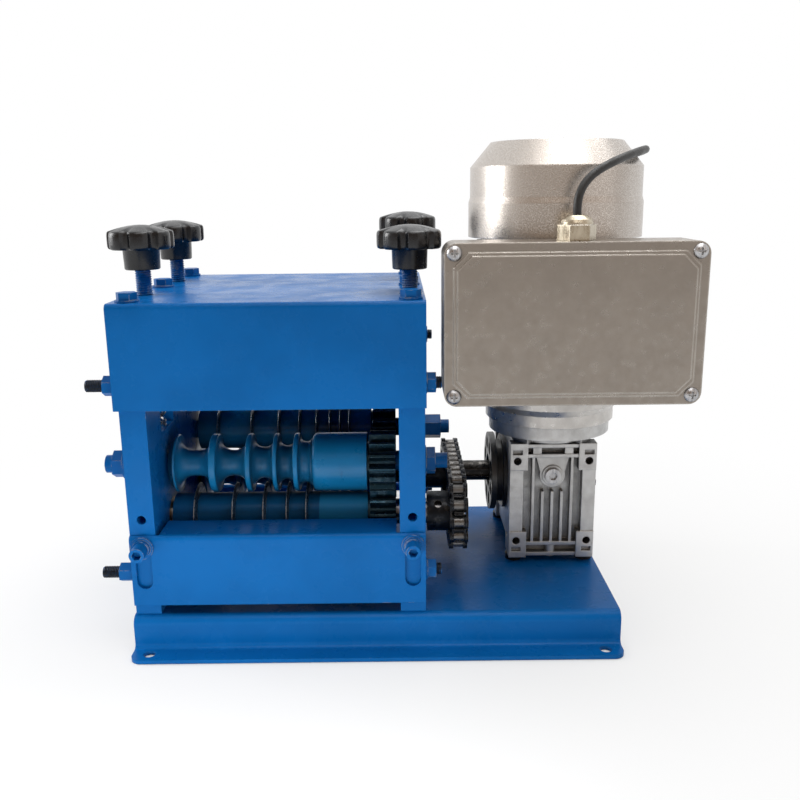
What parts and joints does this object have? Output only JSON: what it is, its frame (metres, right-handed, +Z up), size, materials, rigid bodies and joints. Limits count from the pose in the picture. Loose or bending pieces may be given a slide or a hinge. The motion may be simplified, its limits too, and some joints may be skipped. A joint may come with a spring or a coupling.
{
  "type": "electric wire stripper",
  "caption": "Bench-top motor-driven wire stripper with grooved feed rollers and cutting discs in a blue plate frame, chain drive, worm gearbox, motor and control box.",
  "frame": {"origin": "centre of the foot-hole pattern on the base's underside", "axes": "+X along the rollers towards the motor, +Y from the feed side to the outlet side, +Z up"},
  "size_m": [0.445, 0.376, 0.372],
  "materials": {
    "blue_paint": "gloss blue paint over steel",
    "bare_steel": "bare turned steel",
    "oiled_steel": "dark oiled steel",
    "cast_alloy": "sand-cast silver-grey alloy",
    "silver_paint": "hammered silver paint",
    "box_alloy": "fine-textured warm grey alloy",
    "gland_metal": "nickel-plated brass",
    "bronze": "bearing bronze",
    "copper_iron": "laminated iron with lacquered copper",
    "black_plastic": "glossy black phenolic",
    "fan_plastic": "matt black nylon",
    "cord_rubber": "matt black rubber sheath"
  },
  "bodies": {
    "frame": {"base": "blue_paint", "left_plate": "blue_paint", "right_plate": "blue_paint", "top_cover": "blue_paint", "frame_bolts": "blue_paint", "tie_rods": "blue_paint", "lower_bushes": "bronze", "panel_screws": "blue_paint", "gearbox_housing": "cast_alloy", "gearbox_cover": "oiled_steel", "output_cap": "fan_plastic", "gearbox_fixings": "oiled_steel", "oil_plug": "bare_steel", "input_flange": "cast_alloy", "motor_shield": "cast_alloy", "motor_frame": "cast_alloy", "motor_stator": "copper_iron", "rear_shield": "cast_alloy", "fan_cover": "silver_paint", "box_body": "box_alloy", "box_lid": "box_alloy", "lid_screws": "bare_steel", "cable_gland": "gland_metal", "power_cord": "cord_rubber", "cord_coil": "cord_rubber", "mains_plug": "black_plastic", "drive_chain": "oiled_steel"},
    "drive_roller": {"drive_shaft": "oiled_steel", "rear_lower_roller": "blue_paint", "rear_lower_gear": "oiled_steel", "rear_sprocket": "oiled_steel", "worm_wheel": "bronze"},
    "front_lower_set": {"front_lower_shaft": "bare_steel", "front_lower_spacers": "blue_paint", "front_lower_blades": "bare_steel", "front_lower_gear": "oiled_steel", "front_sprocket": "oiled_steel"},
    "front_carriage": {"front_blocks": "blue_paint", "front_axle": "blue_paint", "front_springs": "bare_steel"},
    "front_upper_set": {"front_upper_roller": "blue_paint", "front_upper_gear": "oiled_steel"},
    "rear_carriage": {"rear_blocks": "blue_paint", "rear_axle": "blue_paint", "rear_springs": "bare_steel"},
    "rear_upper_set": {"rear_upper_spacers": "blue_paint", "rear_upper_blades": "bare_steel", "rear_upper_gear": "oiled_steel"},
    "rotor": {"motor_rotor": "bare_steel", "cooling_fan": "fan_plastic", "worm_shaft": "bare_steel"},
    "lower_panel": {"lower_panel": "blue_paint"},
    "pad_front_left": {"pad_front_left": "bare_steel"},
    "knob_front_left": {"knob_front_left": "black_plastic"},
    "pad_front_right": {"pad_front_right": "bare_steel"},
    "knob_front_right": {"knob_front_right": "black_plastic"},
    "pad_rear_left": {"pad_rear_left": "bare_steel"},
    "knob_rear_left": {"knob_rear_left": "black_plastic"},
    "pad_rear_right": {"pad_rear_right": "bare_steel"},
    "knob_rear_right": {"knob_rear_right": "black_plastic"}
  },
  "joints": [
    {"name": "drive_spin", "type": "hinge", "parent": "frame", "child": "drive_roller", "pos_m": [0, 0.0456, 0.0875], "axis": [1, 0, 0], "continuous": true, "deforming": ["drive_chain"]},
    {"name": "front_lower_spin", "type": "hinge", "parent": "frame", "child": "front_lower_set", "pos_m": [0, -0.056, 0.0875], "axis": [1, 0, 0], "continuous": true},
    {"name": "rotor_spin", "type": "hinge", "parent": "frame", "child": "rotor", "pos_m": [0.1445, 0.0056, 0.2], "axis": [0, 0, 1], "continuous": true},
    {"name": "front_roller_lift", "type": "slide", "parent": "frame", "child": "front_carriage", "axis": [0, 0, 1], "range_m": [0, 0.005], "stiffness_N_per_m": 12000, "springref_m": -0.004, "deforming": ["front_springs"]},
    {"name": "front_upper_spin", "type": "hinge", "parent": "front_carriage", "child": "front_upper_set", "pos_m": [0, -0.056, 0.1295], "axis": [1, 0, 0], "continuous": true},
    {"name": "pad_front_left_slide", "type": "slide", "parent": "frame", "child": "pad_front_left", "axis": [0, 0, 1], "range_m": [-0.00875, 0.00525], "deforming": ["front_springs"]},
    {"name": "knob_front_left_turn", "type": "hinge", "parent": "pad_front_left", "child": "knob_front_left", "pos_m": [-0.172, -0.056, 0.285], "axis": [0, 0, 1], "range_deg": [-1800, 1080], "deforming": ["front_springs"]},
    {"name": "pad_front_right_slide", "type": "slide", "parent": "frame", "child": "pad_front_right", "axis": [0, 0, 1], "range_m": [-0.007, 0.007], "deforming": ["front_springs"]},
    {"name": "knob_front_right_turn", "type": "hinge", "parent": "pad_front_right", "child": "knob_front_right", "pos_m": [0.027, -0.056, 0.285], "axis": [0, 0, 1], "range_deg": [-1440, 1440], "deforming": ["front_springs"]},
    {"name": "rear_roller_lift", "type": "slide", "parent": "frame", "child": "rear_carriage", "axis": [0, 0, 1], "range_m": [0, 0.005], "stiffness_N_per_m": 12000, "springref_m": -0.004, "deforming": ["rear_springs"]},
    {"name": "rear_upper_spin", "type": "hinge", "parent": "rear_carriage", "child": "rear_upper_set", "pos_m": [0, 0.0456, 0.1295], "axis": [1, 0, 0], "continuous": true},
    {"name": "pad_rear_left_slide", "type": "slide", "parent": "frame", "child": "pad_rear_left", "axis": [0, 0, 1], "range_m": [-0.00875, 0.00525], "deforming": ["rear_springs"]},
    {"name": "knob_rear_left_turn", "type": "hinge", "parent": "pad_rear_left", "child": "knob_rear_left", "pos_m": [-0.172, 0.0456, 0.285], "axis": [0, 0, 1], "range_deg": [-1800, 1080], "deforming": ["rear_springs"]},
    {"name": "pad_rear_right_slide", "type": "slide", "parent": "frame", "child": "pad_rear_right", "axis": [0, 0, 1], "range_m": [-0.014, 0], "deforming": ["rear_springs"]},
    {"name": "knob_rear_right_turn", "type": "hinge", "parent": "pad_rear_right", "child": "knob_rear_right", "pos_m": [0.027, 0.0456, 0.285], "axis": [0, 0, 1], "range_deg": [-2880, 0], "deforming": ["rear_springs"]},
    {"name": "panel_lift", "type": "slide", "parent": "frame", "child": "lower_panel", "axis": [0, 0, 1], "range_m": [0, 0.024]}
  ],
  "couplings": [
    {"joint": "front_lower_spin", "follows": "drive_spin", "ratio": 1},
    {"joint": "rotor_spin", "follows": "drive_spin", "ratio": 10},
    {"joint": "front_upper_spin", "follows": "drive_spin", "ratio": -1},
    {"joint": "knob_front_left_turn", "follows": "pad_front_left_slide", "rad_per_m": 3590.4},
    {"joint": "knob_front_right_turn", "follows": "pad_front_right_slide", "rad_per_m": 3590.4},
    {"joint": "rear_upper_spin", "follows": "drive_spin", "ratio": -1},
    {"joint": "knob_rear_left_turn", "follows": "pad_rear_left_slide", "rad_per_m": 3590.4},
    {"joint": "knob_rear_right_turn", "follows": "pad_rear_right_slide", "rad_per_m": 3590.4}
  ]
}
